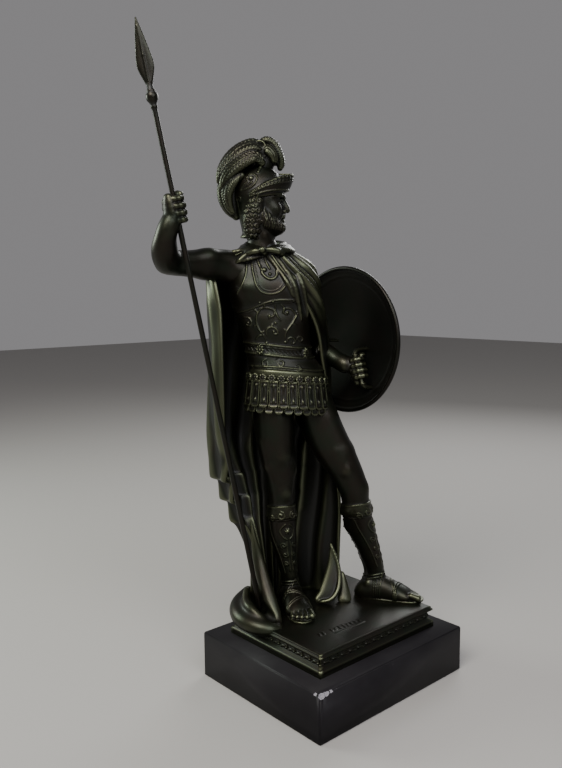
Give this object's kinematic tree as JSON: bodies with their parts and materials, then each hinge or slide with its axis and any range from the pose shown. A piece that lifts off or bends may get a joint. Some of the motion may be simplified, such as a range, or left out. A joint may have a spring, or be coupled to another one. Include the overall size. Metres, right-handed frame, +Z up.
{
  "type": "bronze warrior statue",
  "caption": "Cast bronze figure of a helmeted warrior with cloak, spear and round shield, standing on a moulded plate and a black marble plinth.",
  "frame": {"origin": "middle of the marble plinth's underside", "axes": "+Z up; -Y is the plinth's long front side, towards which the figure's body faces; +X to the right when seen from the front"},
  "size_m": [0.1829, 0.1255, 0.4012],
  "materials": {
    "marble": "polished black marble with grey flecks and white chips at its edges",
    "bronze": "cast bronze with a dark brown-green patina, rubbed brighter on the high places",
    "spear_bronze": "drawn and filed bronze with the same dark patina, a little greyer",
    "shield_bronze": "cast bronze dish with the same dark patina, its rim rubbed bright"
  },
  "bodies": {
    "root": {"marble_plinth": "marble", "bronze_figure": "bronze", "spear": "spear_bronze", "shield": "shield_bronze"}
  },
  "joints": []
}
